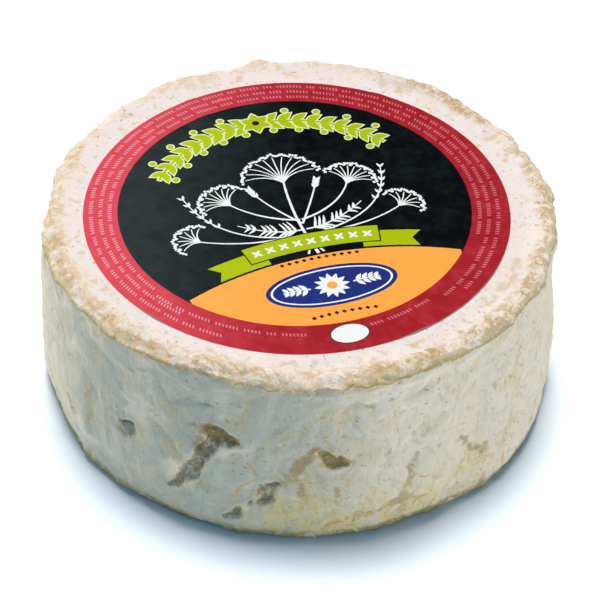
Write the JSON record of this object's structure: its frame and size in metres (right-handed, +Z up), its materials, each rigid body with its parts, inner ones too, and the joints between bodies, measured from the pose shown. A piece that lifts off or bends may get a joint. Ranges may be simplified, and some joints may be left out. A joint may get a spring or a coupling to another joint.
{
  "type": "soft-ripened goat cheese wheel",
  "caption": "Drum-shaped wheel of soft-ripened goat cheese with an uneven bloomy rind and a round paper label lying on its top.",
  "frame": {"origin": "centre of the flat base that the wheel rests on", "axes": "+Z up along the wheel's axis, from the base to the labelled top; -Y to the front, where the torn patches of the rind show; the foot of the label's print faces the front, turned a little towards +X"},
  "size_m": [0.1741, 0.1732, 0.0679],
  "materials": {
    "bloomy_rind": null,
    "label_paper": "coated label paper, satin, printed in red, black, orange and green"
  },
  "bodies": {
    "root": {"cheese_wheel": "bloomy_rind", "paper_label": "label_paper"}
  },
  "joints": []
}
